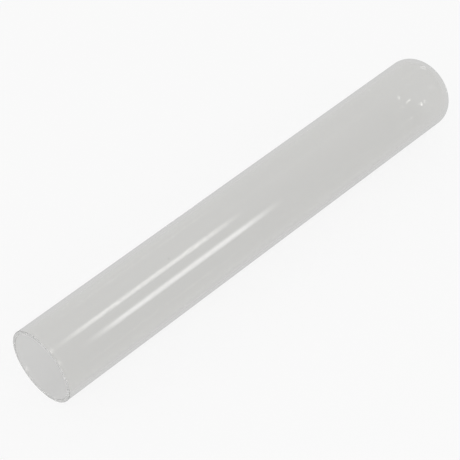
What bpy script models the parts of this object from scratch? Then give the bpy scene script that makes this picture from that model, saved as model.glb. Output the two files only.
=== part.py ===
"""Measuring tube of a manual rain gauge: a plain glass tube, open at one end and closed by a shallow dome.

Metres, +Z up. The tube lies on its side along X, its mouth at -X and its closed end at +X. The origin is under
its middle, on the surface that it lies on.
"""

import math

import bmesh
import bpy

# Driving dimensions
OUTER_DIAMETER = 0.030
WALL = 0.0014
LENGTH = 0.211
KNUCKLE_RADIUS = 0.0074  # outside arc that turns the side wall into the dome
CROWN_RADIUS = 0.0212  # outside arc across the middle of the dome
RIM_EDGE_RADIUS = 0.0005  # both edges of the fire-polished rim; the flat land lies between them

# Fineness
SIDES = 64
KNUCKLE_STEPS = 7
CROWN_STEPS = 5
RIM_STEPS = 4
WALL_STEPS = 3

GLASS_COLOUR = (0.80, 0.80, 0.79, 1.0)
GLASS_ROUGHNESS = 0.03
GLASS_IOR = 1.47

OUTER_RADIUS = OUTER_DIAMETER / 2
BORE_RADIUS = OUTER_RADIUS - WALL
CROWN_CENTRE_SETBACK = math.sqrt(
    (CROWN_RADIUS - KNUCKLE_RADIUS) ** 2 - (OUTER_RADIUS - KNUCKLE_RADIUS) ** 2
)
CROWN_CENTRE = LENGTH - CROWN_RADIUS  # distances along the tube are counted from the mouth
KNUCKLE_CENTRE = CROWN_CENTRE + CROWN_CENTRE_SETBACK
KNUCKLE_ANGLE = math.asin(CROWN_CENTRE_SETBACK / (CROWN_RADIUS - KNUCKLE_RADIUS))


def clear_scene():
    for obj in list(bpy.data.objects):
        bpy.data.objects.remove(obj, do_unlink=True)


def arc(centre_along, centre_radius, radius, start, end, steps):
    """Points (along, radius) on an arc; an angle of 0 points straight out from the axis, 90 degrees to the dome."""
    angles = [start + (end - start) * step / steps for step in range(steps + 1)]
    return [
        (centre_along + radius * math.sin(a), centre_radius + radius * math.cos(a)) for a in angles
    ]


def straight(start, end, steps):
    """Points between two profile points, without the ends."""
    return [
        tuple(s + (e - s) * step / steps for s, e in zip(start, end)) for step in range(1, steps)
    ]


def dome(offset):
    """Half section of the closed end at a depth below the outside, from the side wall to its point on the axis."""
    knuckle = arc(
        KNUCKLE_CENTRE,
        OUTER_RADIUS - KNUCKLE_RADIUS,
        KNUCKLE_RADIUS - offset,
        0.0,
        KNUCKLE_ANGLE,
        KNUCKLE_STEPS,
    )
    crown = arc(
        CROWN_CENTRE, 0.0, CROWN_RADIUS - offset, KNUCKLE_ANGLE, math.pi / 2, CROWN_STEPS
    )
    return knuckle + crown[1:]


def tube_profile():
    """Half section of the glass, from the inside of the closed end, round the rim, to its outside."""
    inner_rim = arc(
        RIM_EDGE_RADIUS,
        BORE_RADIUS + RIM_EDGE_RADIUS,
        RIM_EDGE_RADIUS,
        -math.pi,
        -math.pi / 2,
        RIM_STEPS,
    )
    outer_rim = arc(
        RIM_EDGE_RADIUS,
        OUTER_RADIUS - RIM_EDGE_RADIUS,
        RIM_EDGE_RADIUS,
        -math.pi / 2,
        0.0,
        RIM_STEPS,
    )
    inside = list(reversed(dome(WALL)))
    outside = dome(0.0)
    return (
        inside
        + straight(inside[-1], inner_rim[0], WALL_STEPS)
        + inner_rim
        + outer_rim
        + straight(outer_rim[-1], outside[0], WALL_STEPS)
        + outside
    )


def turn_profile(name, profile):
    """Closed solid made by turning a half section about X; its first and last points lie on the axis."""
    half_facet = math.pi / SIDES
    lift = OUTER_RADIUS * math.cos(half_facet)  # the lowest facet lies flat on Z = 0
    bm = bmesh.new()

    def vertex(along, radius, side):
        angle = half_facet + 2 * math.pi * side / SIDES
        return bm.verts.new(
            (along - LENGTH / 2, radius * math.sin(angle), lift - radius * math.cos(angle))
        )

    rings = [[vertex(along, radius, side) for side in range(SIDES)] for along, radius in profile[1:-1]]
    inner_pole = vertex(profile[0][0], 0.0, 0)
    outer_pole = vertex(profile[-1][0], 0.0, 0)
    for side in range(SIDES):
        following = (side + 1) % SIDES
        bm.faces.new((inner_pole, rings[0][side], rings[0][following]))
        for ring, next_ring in zip(rings, rings[1:]):
            bm.faces.new((ring[side], next_ring[side], next_ring[following], ring[following]))
        bm.faces.new((outer_pole, rings[-1][following], rings[-1][side]))
    bmesh.ops.recalc_face_normals(bm, faces=bm.faces)

    mesh = bpy.data.meshes.new(name)
    bm.to_mesh(mesh)
    bm.free()
    mesh.shade_smooth()
    mesh.set_sharp_from_angle(angle=math.radians(40))
    obj = bpy.data.objects.new(name, mesh)
    bpy.context.scene.collection.objects.link(obj)
    return obj


def clear_glass():
    material = bpy.data.materials.new("clear_glass")
    material.use_nodes = True
    shader = material.node_tree.nodes["Principled BSDF"]
    shader.inputs["Base Color"].default_value = GLASS_COLOUR
    shader.inputs["Roughness"].default_value = GLASS_ROUGHNESS
    shader.inputs["Metallic"].default_value = 0.0
    shader.inputs["Transmission Weight"].default_value = 1.0
    shader.inputs["IOR"].default_value = GLASS_IOR
    return material


def measuring_tube():
    tube = turn_profile("measuring_tube", tube_profile())
    tube.data.materials.append(clear_glass())
    return tube


clear_scene()
measuring_tube()
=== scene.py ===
"""Looks of the rain gauge's measuring tube: clear drawn glass lying on a pale studio floor.

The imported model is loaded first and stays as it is. The glass is made again here as a finer closed shell,
which stands for the CAD node measuring_tube. Metres, +Z up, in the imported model's own frame.

The stage has two levels of light. The floor and the backdrop are near white where the camera sees them
directly, and light grey where they are seen in or through the glass, as if the tube had lain on grey and been
cut out on white. Only the stage does this: the glass itself is plain clear glass.
"""

import math

import bpy
import numpy as np
from mathutils import Matrix, Vector


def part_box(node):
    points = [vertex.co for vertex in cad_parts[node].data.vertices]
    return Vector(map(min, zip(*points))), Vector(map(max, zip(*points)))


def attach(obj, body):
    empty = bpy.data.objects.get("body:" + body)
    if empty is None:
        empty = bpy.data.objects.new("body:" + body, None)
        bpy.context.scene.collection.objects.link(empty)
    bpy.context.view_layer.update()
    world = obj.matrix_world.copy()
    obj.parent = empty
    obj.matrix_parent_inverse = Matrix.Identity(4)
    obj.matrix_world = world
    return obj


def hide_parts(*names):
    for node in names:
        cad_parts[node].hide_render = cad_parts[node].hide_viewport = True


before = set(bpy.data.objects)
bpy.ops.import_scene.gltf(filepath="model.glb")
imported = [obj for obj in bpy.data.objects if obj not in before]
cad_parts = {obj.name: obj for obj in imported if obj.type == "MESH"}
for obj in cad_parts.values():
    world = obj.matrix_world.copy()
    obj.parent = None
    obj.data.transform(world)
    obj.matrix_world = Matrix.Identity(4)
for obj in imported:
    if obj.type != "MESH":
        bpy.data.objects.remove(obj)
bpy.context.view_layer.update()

tube_low, tube_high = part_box("measuring_tube")

# The tube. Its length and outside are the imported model's. The wall and the dome repeat the design's values.
LENGTH = tube_high.x - tube_low.x
OUTER_RADIUS = (tube_high.z - tube_low.z) / 2
MOUTH_X = tube_low.x
AXIS_Y = (tube_low.y + tube_high.y) / 2
AXIS_Z = (tube_low.z + tube_high.z) / 2
WALL = 0.0014
RIM_ROUNDING = 0.00025  # of both edges of the rim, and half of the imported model's
KNUCKLE_RADIUS = 0.0074
CROWN_RADIUS = 0.0212
BORE_RADIUS = OUTER_RADIUS - WALL
CROWN_CENTRE = LENGTH - CROWN_RADIUS
CROWN_CENTRE_SETBACK = math.sqrt(
    (CROWN_RADIUS - KNUCKLE_RADIUS) ** 2 - (OUTER_RADIUS - KNUCKLE_RADIUS) ** 2
)
KNUCKLE_CENTRE = CROWN_CENTRE + CROWN_CENTRE_SETBACK
KNUCKLE_ANGLE = math.asin(CROWN_CENTRE_SETBACK / (CROWN_RADIUS - KNUCKLE_RADIUS))

# Fineness of the shell
SIDES = 256
KNUCKLE_STEPS = 24
CROWN_STEPS = 24
RIM_STEPS = 12
LAND_STEPS = 6
WALL_STEPS = 90

# Unevenness of drawn and blown glass. A period is a length along the tube.
DRAW_WANDER = 0.00002
OVAL_PERIOD = 0.17
TRIANGLE_PERIOD = 0.083
BORE_PHASE = 1.9
SWIRL_REACH = 0.03
SWIRL_DEPTH = 0.00004
SWIRL_PERIOD = 0.021
BROAD_SWIRL_TWIST = 5.0
FINE_SWIRL_TWIST = 7.0
FINE_SWIRL_SHARE = 0.6
SWIRL_OFFSET = 1.4

# Surface of the glass. A scale is in features per metre along X, Y and Z.
GLASS_IOR = 1.47
GLASS_TINT = (0.995, 0.993, 0.981)
DRAW_LINE_DEPTH = 0.000006
BROAD_LINE_SCALE = (6.0, 260.0, 260.0)
FINE_LINE_SCALE = (9.0, 1400.0, 1400.0)
FINE_LINE_SHARE = 0.25
LINE_DETAIL = 2.0
SMEAR_SCALE = (28.0, 60.0, 60.0)
SMEAR_DETAIL = 4.0
SMEAR_RANGE = (0.5, 0.75)  # of the noise, from clean glass to the thickest smear
SMEAR_ROUGHNESS = (0.0, 0.07)
DUST_CELLS = 150.0  # per metre
DUST_SIZE = (0.02, 0.04)  # a speck's full and faded-out radius, in cells
DUST_SHARE = 0.09  # of the cells hold a speck
DUST_TINT = (0.25, 0.25, 0.24)

# Camera: its direction from the tube in degrees, the point it looks at, and its lens
CAMERA_AZIMUTH = -45.27
CAMERA_ELEVATION = 46.31
CAMERA_DISTANCE = 0.682
CAMERA_AIM = (-0.0087, 0.0025, 0.0108)
CAMERA_LENS = 140.7
CAMERA_CLIP = (0.01, 50.0)

# Softboxes, all facing the tube: name, place, width across the tube, length along it, share of the length
# that fades out at each end, and radiance. The key draws the two long streaks, and the windows, beyond the
# mouth, draw glints in the dome.
TUBE_MIDDLE = (-0.05, 0.0, 0.015)
SOFTBOXES = (
    ("key", (0.266, -0.507, 0.363), 0.24, 0.19, 0.25, 3.45),
    ("window_high", (-1.03, 0.434, 0.30), 0.26, 0.26, 0.38, 5.0),
    ("window_low", (-1.03, 0.53, 0.08), 0.14, 0.2, 0.38, 4.0),
    ("overhead", (-0.42, -0.33, 0.66), 0.16, 1.05, 0.38, 2.8),
    ("far_side", (1.40, 0.57, 1.02), 0.30, 0.80, 0.38, 2.6),
)
SOFTBOX_SIDE_FADE = 0.45

# Surroundings: grey levels by a direction's height, from level to straight up, in the even part and in the
# darker part, and the darker part's share by the direction's X
EVEN_STOPS = ((0.0, 0.66), (0.1, 0.64), (0.2, 0.62), (0.5, 0.58), (0.8, 0.58), (1.0, 0.64))
DARK_STOPS = ((0.0, 0.66), (0.08, 0.64), (0.35, 0.56), (0.7, 0.49), (1.0, 0.44))
DARK_SHARE_STOPS = ((0.1, 1.0), (0.28, 0.0), (0.63, 0.0), (0.78, 1.0))
BACKDROP = 0.955

# Floor, just under the tube
FLOOR_HALF_SIZE = 4.0
FLOOR_HEIGHT = -0.00002
FLOOR_REFLECTS = 0.12
FLOOR_ROUGHNESS = 0.9
FLOOR_SPECULAR = 0.1
FLOOR_BEHIND_GLASS = 0.55
FLOOR_DIRECT = 0.875

LIGHT_BOUNCES = 1024  # light is guided a long way along the wall before it comes out at the rim


def arc(centre_along, centre_radius, radius, start, end, steps):
    """Points (along, radius); an angle of 0 points straight out from the axis and 90 degrees to the dome."""
    angles = np.linspace(start, end, steps + 1)
    return np.stack(
        [centre_along + radius * np.sin(angles), centre_radius + radius * np.cos(angles)], axis=1
    )


def straight(start, end, steps):
    """Points between two profile points, without the ends."""
    share = np.linspace(0.0, 1.0, steps + 1)[1:-1, None]
    return np.asarray(start) * (1 - share) + np.asarray(end) * share


def dome(depth):
    """Half section of the closed end at a depth below the outside, from the side wall to the axis."""
    knuckle = arc(
        KNUCKLE_CENTRE,
        OUTER_RADIUS - KNUCKLE_RADIUS,
        KNUCKLE_RADIUS - depth,
        0.0,
        KNUCKLE_ANGLE,
        KNUCKLE_STEPS,
    )
    crown = arc(CROWN_CENTRE, 0.0, CROWN_RADIUS - depth, KNUCKLE_ANGLE, math.pi / 2, CROWN_STEPS)
    return np.concatenate([knuckle, crown[1:]])


def tube_profile():
    """Half section of the glass from the inside of the dome, round the rim, to the outside of the dome."""
    inside = dome(WALL)[::-1]
    outside = dome(0.0)
    inner_edge = arc(
        RIM_ROUNDING, BORE_RADIUS + RIM_ROUNDING, RIM_ROUNDING, -math.pi, -math.pi / 2, RIM_STEPS
    )
    outer_edge = arc(
        RIM_ROUNDING, OUTER_RADIUS - RIM_ROUNDING, RIM_ROUNDING, -math.pi / 2, 0.0, RIM_STEPS
    )
    return np.concatenate(
        [
            inside,
            straight(inside[-1], inner_edge[0], WALL_STEPS),
            inner_edge,
            straight(inner_edge[-1], outer_edge[0], LAND_STEPS),
            outer_edge,
            straight(outer_edge[-1], outside[0], WALL_STEPS),
            outside,
        ]
    )


def drawn_shape(rings, angles):
    """Every ring's points (along, radius) round the tube, with the small unevenness of drawn and blown glass.

    The outside and the bore both wander inwards a little along the tube, slightly oval and slightly
    three-sided, each in its own way. Towards the closed end the inside is swirled as well, where the glass
    was gathered and blown shut.
    """
    along = rings[:, 0, None] + 0 * angles
    radius = rings[:, 1, None] + 0 * angles
    inside = (np.arange(len(rings)) < len(rings) // 2)[:, None]
    phase = np.where(inside, BORE_PHASE, 0.0)
    turn = 2 * math.pi * along
    oval = np.sin(2 * angles + turn / OVAL_PERIOD + phase)
    triangle = np.sin(3 * angles - turn / TRIANGLE_PERIOD + 2 * phase)
    off_the_axis = np.clip(radius / BORE_RADIUS, 0.0, 1.0) ** 2
    radius = radius - DRAW_WANDER * (0.5 + 0.25 * (oval + triangle)) * off_the_axis

    towards_dome = np.clip((along - KNUCKLE_CENTRE + SWIRL_REACH) / SWIRL_REACH, 0.0, 1.0)
    share = np.clip(radius / BORE_RADIUS, 0.0, 1.0)
    broad = np.sin(2 * angles + BROAD_SWIRL_TWIST * share + turn / SWIRL_PERIOD)
    fine = np.sin(5 * angles - FINE_SWIRL_TWIST * share)
    swirl = broad + FINE_SWIRL_SHARE * fine
    uneven = SWIRL_DEPTH * towards_dome**2 * share * (SWIRL_OFFSET + swirl) / 2
    return along, np.where(inside, radius - uneven, radius)


def glass_shell():
    """The tube as one closed shell: the profile's two ends are single vertices on the axis."""
    profile = tube_profile()
    rings = profile[1:-1]
    angles = np.linspace(0.0, 2 * math.pi, SIDES, endpoint=False)
    along, radius = drawn_shape(rings, angles)
    ring_points = np.stack(
        [
            MOUTH_X + along,
            AXIS_Y + radius * np.sin(angles),
            AXIS_Z - radius * np.cos(angles),
        ],
        axis=-1,
    ).reshape(-1, 3)
    poles = [(MOUTH_X + place, AXIS_Y, AXIS_Z) for place in (profile[0, 0], profile[-1, 0])]
    points = [tuple(p) for p in ring_points] + poles
    inner_pole, outer_pole = len(ring_points), len(ring_points) + 1

    faces = []
    last = (len(rings) - 1) * SIDES
    for side in range(SIDES):
        following = (side + 1) % SIDES
        faces.append((inner_pole, following, side))
        faces.append((outer_pole, last + side, last + following))
        for ring in range(len(rings) - 1):
            here, there = ring * SIDES, (ring + 1) * SIDES
            faces.append((here + side, here + following, there + following, there + side))
    mesh = bpy.data.meshes.new("glass_tube")
    mesh.from_pydata(points, [], faces)
    mesh.validate()
    mesh.shade_smooth()
    tube = bpy.data.objects.new("glass_tube", mesh)
    bpy.context.scene.collection.objects.link(tube)
    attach(tube, "root")
    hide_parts("measuring_tube")
    return tube


def noise(nodes, links, place, scale, detail):
    """Noise read at a place whose axes are scaled first."""
    stretch = nodes.new("ShaderNodeVectorMath")
    stretch.operation = "MULTIPLY"
    stretch.inputs[1].default_value = scale
    texture = nodes.new("ShaderNodeTexNoise")
    texture.inputs["Scale"].default_value = 1.0
    texture.inputs["Detail"].default_value = detail
    links.new(place, stretch.inputs[0])
    links.new(stretch.outputs[0], texture.inputs["Vector"])
    return texture.outputs["Fac"]


def ranged(nodes, links, value, low, high, at_low, at_high):
    """A value taken smoothly from low..high to at_low..at_high."""
    change = nodes.new("ShaderNodeMapRange")
    change.interpolation_type = "SMOOTHSTEP"
    for name, number in zip(("From Min", "From Max", "To Min", "To Max"), (low, high, at_low, at_high)):
        change.inputs[name].default_value = number
    links.new(value, change.inputs["Value"])
    return change.outputs["Result"]


def computed(nodes, links, operation, first, second):
    """The result of a Math node; each operand is a socket or a plain number."""
    step = nodes.new("ShaderNodeMath")
    step.operation = operation
    for value, socket in ((first, step.inputs[0]), (second, step.inputs[1])):
        if isinstance(value, float):
            socket.default_value = value
        else:
            links.new(value, socket)
    return step.outputs[0]


def dust(nodes, links, place):
    """1 on a few specks of dust, each inside one cell of a coarse lattice, and 0 between them."""
    cells = nodes.new("ShaderNodeTexVoronoi")
    cells.inputs["Scale"].default_value = DUST_CELLS
    split = nodes.new("ShaderNodeSeparateColor")
    links.new(place, cells.inputs["Vector"])
    links.new(cells.outputs["Color"], split.inputs[0])
    near = ranged(nodes, links, cells.outputs["Distance"], *DUST_SIZE, 1.0, 0.0)
    kept = computed(nodes, links, "LESS_THAN", split.outputs[0], DUST_SHARE)
    return computed(nodes, links, "MULTIPLY", near, kept)


def clear_glass():
    """Clear drawn glass: fine draw lines along the tube, smears from handling and a few specks of dust."""
    material = bpy.data.materials.new("clear_glass")
    material.use_nodes = True
    nodes, links = material.node_tree.nodes, material.node_tree.links
    shader = nodes["Principled BSDF"]
    shader.inputs["Transmission Weight"].default_value = 1.0
    shader.inputs["IOR"].default_value = GLASS_IOR
    place = nodes.new("ShaderNodeTexCoord").outputs["Object"]

    tint = nodes.new("ShaderNodeMixRGB")
    tint.inputs["Color1"].default_value = (*GLASS_TINT, 1.0)
    tint.inputs["Color2"].default_value = (*DUST_TINT, 1.0)
    links.new(dust(nodes, links, place), tint.inputs["Fac"])
    links.new(tint.outputs["Color"], shader.inputs["Base Color"])

    handled = noise(nodes, links, place, SMEAR_SCALE, SMEAR_DETAIL)
    smears = ranged(nodes, links, handled, *SMEAR_RANGE, *SMEAR_ROUGHNESS)
    links.new(smears, shader.inputs["Roughness"])

    broad = noise(nodes, links, place, BROAD_LINE_SCALE, LINE_DETAIL)
    fine = noise(nodes, links, place, FINE_LINE_SCALE, LINE_DETAIL)
    fine_part = computed(nodes, links, "MULTIPLY", fine, FINE_LINE_SHARE)
    draw_lines = nodes.new("ShaderNodeBump")
    draw_lines.inputs["Distance"].default_value = DRAW_LINE_DEPTH
    links.new(computed(nodes, links, "ADD", broad, fine_part), draw_lines.inputs["Height"])
    links.new(draw_lines.outputs["Normal"], shader.inputs["Normal"])
    return material


def camera_direction(azimuth, elevation):
    """Unit vector from the object to a camera at an azimuth and elevation in degrees."""
    a, e = math.radians(azimuth), math.radians(elevation)
    return Vector((math.sin(a) * math.cos(e), -math.cos(a) * math.cos(e), math.sin(e)))


def add_camera():
    """The scene's camera."""
    data = bpy.data.cameras.new("camera")
    data.lens = CAMERA_LENS
    data.clip_start, data.clip_end = CAMERA_CLIP
    camera = bpy.data.objects.new("camera", data)
    bpy.context.scene.collection.objects.link(camera)
    back = camera_direction(CAMERA_AZIMUTH, CAMERA_ELEVATION)
    camera.location = Vector(CAMERA_AIM) + back * CAMERA_DISTANCE
    camera.rotation_euler = (-back).to_track_quat("-Z", "Y").to_euler()
    bpy.context.scene.camera = camera


def level_by_ray(nodes, links, behind_glass, direct):
    """A level with one value seen directly and another seen in or through the glass."""
    path = nodes.new("ShaderNodeLightPath")
    level = nodes.new("ShaderNodeMapRange")
    level.inputs["To Min"].default_value = behind_glass
    level.inputs["To Max"].default_value = direct
    links.new(path.outputs["Is Camera Ray"], level.inputs["Value"])
    return level.outputs["Result"]


def add_floor():
    """Plain pale floor that glows evenly, so that hardly a shadow shows on it."""
    half = FLOOR_HALF_SIZE
    corners = [(-half, -half), (half, -half), (half, half), (-half, half)]
    mesh = bpy.data.meshes.new("floor")
    mesh.from_pydata([(x, y, FLOOR_HEIGHT) for x, y in corners], [], [(0, 1, 2, 3)])
    floor = bpy.data.objects.new("floor", mesh)
    bpy.context.scene.collection.objects.link(floor)
    material = bpy.data.materials.new("pale_floor")
    material.use_nodes = True
    nodes, links = material.node_tree.nodes, material.node_tree.links
    shader = nodes["Principled BSDF"]
    shader.inputs["Base Color"].default_value = (*[FLOOR_REFLECTS] * 3, 1.0)
    shader.inputs["Roughness"].default_value = FLOOR_ROUGHNESS
    shader.inputs["Specular IOR Level"].default_value = FLOOR_SPECULAR
    shader.inputs["Emission Color"].default_value = (1.0, 1.0, 1.0, 1.0)
    glow = level_by_ray(nodes, links, FLOOR_BEHIND_GLASS, FLOOR_DIRECT)
    links.new(glow, shader.inputs["Emission Strength"])
    mesh.materials.append(material)


def add_softbox(name, at, towards, width, length, end_fade, radiance):
    """Rectangular softbox that fades out towards its edges, with its long side as near to +X as it can be."""
    data = bpy.data.lights.new(name, "AREA")
    data.shape = "RECTANGLE"
    data.size = length
    data.size_y = width
    data.energy = radiance * math.pi * width * length
    data.use_nodes = True
    nodes, links = data.node_tree.nodes, data.node_tree.links
    place = nodes.new("ShaderNodeNewGeometry")
    split = nodes.new("ShaderNodeSeparateXYZ")
    links.new(place.outputs["Parametric"], split.inputs[0])
    sides = []
    for side, fade in (("X", end_fade), ("Y", SOFTBOX_SIDE_FADE)):
        from_edge = computed(nodes, links, "PINGPONG", split.outputs[side], 0.5)
        sides.append(ranged(nodes, links, from_edge, 0.0, fade, 0.0, 1.0))
    links.new(computed(nodes, links, "MULTIPLY", *sides), nodes["Emission"].inputs["Strength"])
    light = bpy.data.objects.new(name, data)
    bpy.context.scene.collection.objects.link(light)
    back = (Vector(at) - Vector(towards)).normalized()
    along = Vector((1.0, 0.0, 0.0))
    along = (along - back * along.dot(back)).normalized()
    across = back.cross(along)
    light.matrix_world = Matrix(
        [(*row, position) for row, position in zip(zip(along, across, back), at)] + [(0, 0, 0, 1)]
    )


def ramp_of(nodes, links, value, stops):
    """A grey that follows (position, level) stops."""
    ramp = nodes.new("ShaderNodeValToRGB")
    while len(ramp.color_ramp.elements) < len(stops):
        ramp.color_ramp.elements.new(1.0)
    for element, (position, level) in zip(ramp.color_ramp.elements, stops):
        element.position = position
        element.color = (level, level, level, 1.0)
    links.new(value, ramp.inputs["Fac"])
    return ramp.outputs["Color"]


def mixed(nodes, links, share, first, second):
    """Two colours mixed; each is a socket or a plain grey level."""
    mix = nodes.new("ShaderNodeMixRGB")
    links.new(share, mix.inputs["Fac"])
    for colour, socket in ((first, mix.inputs["Color1"]), (second, mix.inputs["Color2"])):
        if isinstance(colour, float):
            socket.default_value = (colour, colour, colour, 1.0)
        else:
            links.new(colour, socket)
    return mix.outputs["Color"]


def add_world():
    """Surroundings, which light the scene and show in the glass, and a white backdrop, seen directly."""
    world = bpy.data.worlds.new("studio")
    world.use_nodes = True
    nodes, links = world.node_tree.nodes, world.node_tree.links
    split = nodes.new("ShaderNodeSeparateXYZ")
    links.new(nodes.new("ShaderNodeTexCoord").outputs["Generated"], split.inputs[0])
    even = ramp_of(nodes, links, split.outputs["Z"], EVEN_STOPS)
    dark = ramp_of(nodes, links, split.outputs["Z"], DARK_STOPS)
    dark_share = ramp_of(nodes, links, split.outputs["X"], DARK_SHARE_STOPS)
    around = mixed(nodes, links, dark_share, even, dark)
    is_direct = nodes.new("ShaderNodeLightPath").outputs["Is Camera Ray"]
    links.new(mixed(nodes, links, is_direct, around, BACKDROP), nodes["Background"].inputs["Color"])
    bpy.context.scene.world = world


tube = glass_shell()
tube.data.materials.append(clear_glass())
add_floor()
add_world()
for name, at, width, length, end_fade, radiance in SOFTBOXES:
    add_softbox(name, at, TUBE_MIDDLE, width, length, end_fade, radiance)
add_camera()
bpy.context.scene.view_settings.view_transform = "Standard"
cycles = bpy.context.scene.cycles
cycles.max_bounces = LIGHT_BOUNCES
cycles.glossy_bounces = LIGHT_BOUNCES
cycles.transmission_bounces = LIGHT_BOUNCES
